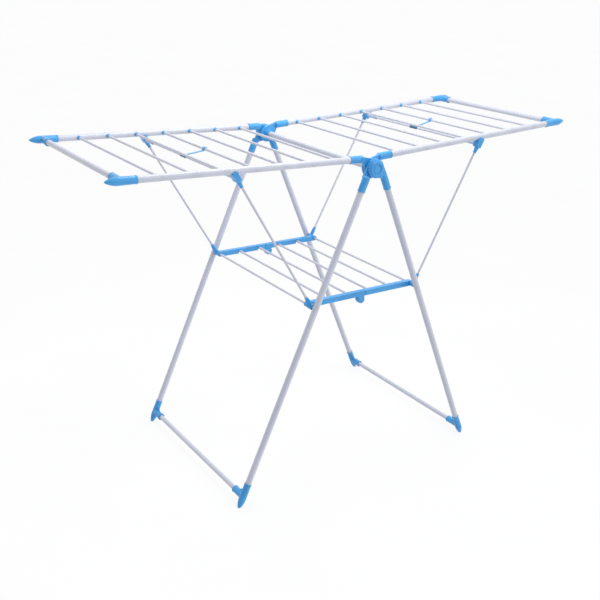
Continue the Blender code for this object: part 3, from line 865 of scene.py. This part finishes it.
def show_stays():
    eye = eye_mesh()
    marks = (LOWER_SLEEVE[2][0], UPPER_SLEEVE[0][0])
    for side in SIDES:
        head, socket = head_mesh(side)
        body, at = f"{side}_stay", STAY_AT[side]
        for end, sign in ends_of(side):
            node = f"{side}_stay_{end}_strut"
            span = (0.012, WIRE_X[1] - 0.010)
            wire = tube_mesh("x", span, (sign * STAY_Y, 0), WIRE_R, marks, ROD_SIDES)
            shown(node + "_wire", wire, "stay_wire", body, at, (node,))
            for name, mesh in (("_eye", eye), ("_head", head), ("_socket", socket)):
                finish = socket_finish if name == "_socket" else None
                shown(node + name, handed(mesh, sign), "hub_plastic", body, at, finish=finish)


# Catches


def show_catches():
    """On each wing, a strap that hangs from a rod and clips over the stays' crossbar."""
    for side, (number, shift) in CATCHES.items():
        body, at = f"{side}_wing", WING_AT[side]
        rod_x = WING_ROD_X[number]
        bar = WING_AT[side].inverted() @ STAY_AT[side] @ Vector((CROSSBAR_X, 0, 0))
        run = 1 if bar.x > rod_x else -1
        (rim_r, ring_r), (flat, edge) = CATCH_RING_R, CATCH_RING_Y
        ring = [(shift - edge, rim_r), (shift - flat, ring_r)]
        ring += [(shift + flat, ring_r), (shift + edge, rim_r)]
        width, thick = STRAP_HALF
        path = [(rod_x + run * 0.003, WING_OFFSET - 0.0035), (bar.x, bar.z + CLIP_R)]
        strap = [(x, z + thick) for x, z in path]
        strap += [(x, z - thick) for x, z in reversed(path)]
        through = (shift - 0.01, shift + 0.01)
        bore = rod("y", through, (rod_x, WING_OFFSET), ROD_R + FIT)
        gap = box((rod_x - 0.0030, rod_x + 0.0030), through, (WING_OFFSET - 0.012, WING_OFFSET))
        adds = [lathe("y", (rod_x, WING_OFFSET), ring, 32)]
        adds.append(plate(strap, (shift - width, shift + width)))
        mesh = moulded(adds, [bore, gap], voxel=FINE_VOXEL)
        name = f"{side}_catch_strap"
        shown(name, mesh, "corner_plastic", body, at, finish=catch_finish)
        short, long = CLIP_SPAN
        span = (shift - long, shift + short) if side == "left" else (shift - short, shift + long)
        shell = arc((bar.x, bar.z), CLIP_R, -40, 220, 20)
        slot_r = CROSSBAR_R + CLIP_FIT
        slot = arc((bar.x, bar.z), slot_r, 0, 180, 14)
        slot += [(bar.x - slot_r, bar.z - 0.01), (bar.x + slot_r, bar.z - 0.01)]
        cut = plate(slot, (span[0] - PAST, span[1] + PAST))
        mesh = moulded([plate(shell, span)], [cut], voxel=FINE_VOXEL)
        # The clip gets the dark finish, which is painted shade
        name = f"{side}_catch_clip"
        shown(name, mesh, "corner_plastic", body, at, finish=shaded_clip_finish)


show_arms()
show_tees()
show_tubes()
show_rods()
show_grommets()
show_shelf()
show_stays()
show_catches()


# Studio

CAMERA_AT = Vector((-1.4846, -2.1508, HUB.z + 0.5353))
CAMERA_YAW = 0.59248
CAMERA_PITCH = -0.36980
CAMERA_ROLL = 0.02870
CAMERA_LENS = 53.7
CAMERA_SENSOR = 36.0
# The sky brightens in this direction, between these (share of the way, colour) pairs
SKY_TOWARDS = (0.80, 0.45, -0.08)
SKY = ((0.05, (0.40, 0.41, 0.45)), (0.62, (1.0, 1.0, 1.0)))
SKY_STRENGTH = 1.0
BACKDROP = (0.970, 0.970, 0.972)
FLOOR_TONES = ((0.14, 0.14, 0.14), (0.13, 0.13, 0.131))
FLOOR_GLOW = 0.862
FLOOR_HALF = 60
FLOOR_THICK = 0.02
FILL_TOWARDS = (0.25, -1.0, 0.35)
FILL_SPREAD = 60.0
FILL_STRENGTH = 0.32
FILL_COLOUR = (0.95, 0.97, 1.0)
OVERHEAD_AT = (0.12, -0.05, 2.05)
OVERHEAD_POWER = 10.0
OVERHEAD_SIZE = 0.9


def make_camera():
    camera = bpy.data.objects.new("camera", bpy.data.cameras.new("camera"))
    camera.data.lens = CAMERA_LENS
    camera.data.sensor_width = CAMERA_SENSOR
    camera.data.clip_end = 200.0
    aim = Matrix.Rotation(-CAMERA_YAW, 4, "Z")
    aim = aim @ Matrix.Rotation(math.pi / 2 + CAMERA_PITCH, 4, "X")
    aim = aim @ Matrix.Rotation(CAMERA_ROLL, 4, "Z")
    camera.matrix_world = Matrix.Translation(CAMERA_AT) @ aim
    bpy.context.scene.collection.objects.link(camera)
    bpy.context.scene.camera = camera


def sun(name, towards, spread, strength, colour):
    """A soft lamp far away, in the direction towards, seen over a disc spread degrees wide."""
    light = bpy.data.lights.new(name, "SUN")
    light.angle = math.radians(spread)
    light.energy = strength
    light.color = colour
    obj = bpy.data.objects.new(name, light)
    obj.rotation_euler = Vector(towards).to_track_quat("Z", "Y").to_euler()
    bpy.context.scene.collection.objects.link(obj)


def make_studio():
    """A pale floor that glows evenly, a sky that dims towards the left front, a soft fill sun
    and a lamp overhead. The camera sees a plain backdrop in place of the sky."""
    world = bpy.data.worlds.new("studio")
    bpy.context.scene.world = world
    world.use_nodes = True
    tree = world.node_tree
    sky = tree.nodes["Background"]
    place = tree.nodes.new("ShaderNodeTexCoord")
    facing = tree.nodes.new("ShaderNodeVectorMath")
    facing.operation = "DOT_PRODUCT"
    facing.inputs[1].default_value = SKY_TOWARDS
    ramp = tree.nodes.new("ShaderNodeValToRGB")
    rise = tree.nodes.new("ShaderNodeMapRange")
    tree.links.new(place.outputs["Generated"], facing.inputs[0])
    tree.links.new(facing.outputs["Value"], rise.inputs["Value"])
    rise.inputs["From Min"].default_value = -1.0
    tree.links.new(rise.outputs["Result"], ramp.inputs["Fac"])
    for element, (position, colour) in zip(ramp.color_ramp.elements, SKY):
        element.position = position
        element.color = (*colour, 1.0)
    tree.links.new(ramp.outputs["Color"], sky.inputs["Color"])
    sky.inputs["Strength"].default_value = SKY_STRENGTH
    white = tree.nodes.new("ShaderNodeBackground")
    white.inputs["Color"].default_value = (*BACKDROP, 1.0)
    path = tree.nodes.new("ShaderNodeLightPath")
    mix = tree.nodes.new("ShaderNodeMixShader")
    tree.links.new(path.outputs["Is Camera Ray"], mix.inputs[0])
    tree.links.new(sky.outputs[0], mix.inputs[1])
    tree.links.new(white.outputs[0], mix.inputs[2])
    tree.links.new(mix.outputs[0], tree.nodes["World Output"].inputs["Surface"])

    far = FLOOR_HALF
    square = [(-far, -far), (far, -far), (far, far), (-far, far)]
    floor = bpy.data.objects.new("floor", plate(square, (-FLOOR_THICK, 0.0), "z"))
    g = Graph("floor_paper")
    tone = g.mix(g.ramp(g.noise(1.5, 3.0), 0.3, 0.7), *FLOOR_TONES)
    floor.data.materials.append(g.finish(tone, 0.9, g.bump(g.noise(200.0), 0.0002, 0.2)))
    g.shader.inputs["Specular IOR Level"].default_value = 0.0
    g.shader.inputs["Emission Color"].default_value = (1.0, 1.0, 1.0, 1.0)
    g.shader.inputs["Emission Strength"].default_value = FLOOR_GLOW
    floor.visible_diffuse = False
    floor.visible_glossy = False
    bpy.context.scene.collection.objects.link(floor)

    sun("fill", FILL_TOWARDS, FILL_SPREAD, FILL_STRENGTH, FILL_COLOUR)
    lamp = bpy.data.lights.new("overhead", "AREA")
    lamp.shape = "DISK"
    lamp.size = OVERHEAD_SIZE
    lamp.energy = OVERHEAD_POWER
    obj = bpy.data.objects.new("overhead", lamp)
    obj.location = OVERHEAD_AT
    bpy.context.scene.collection.objects.link(obj)


make_camera()
make_studio()
bpy.context.scene.view_settings.view_transform = "Standard"
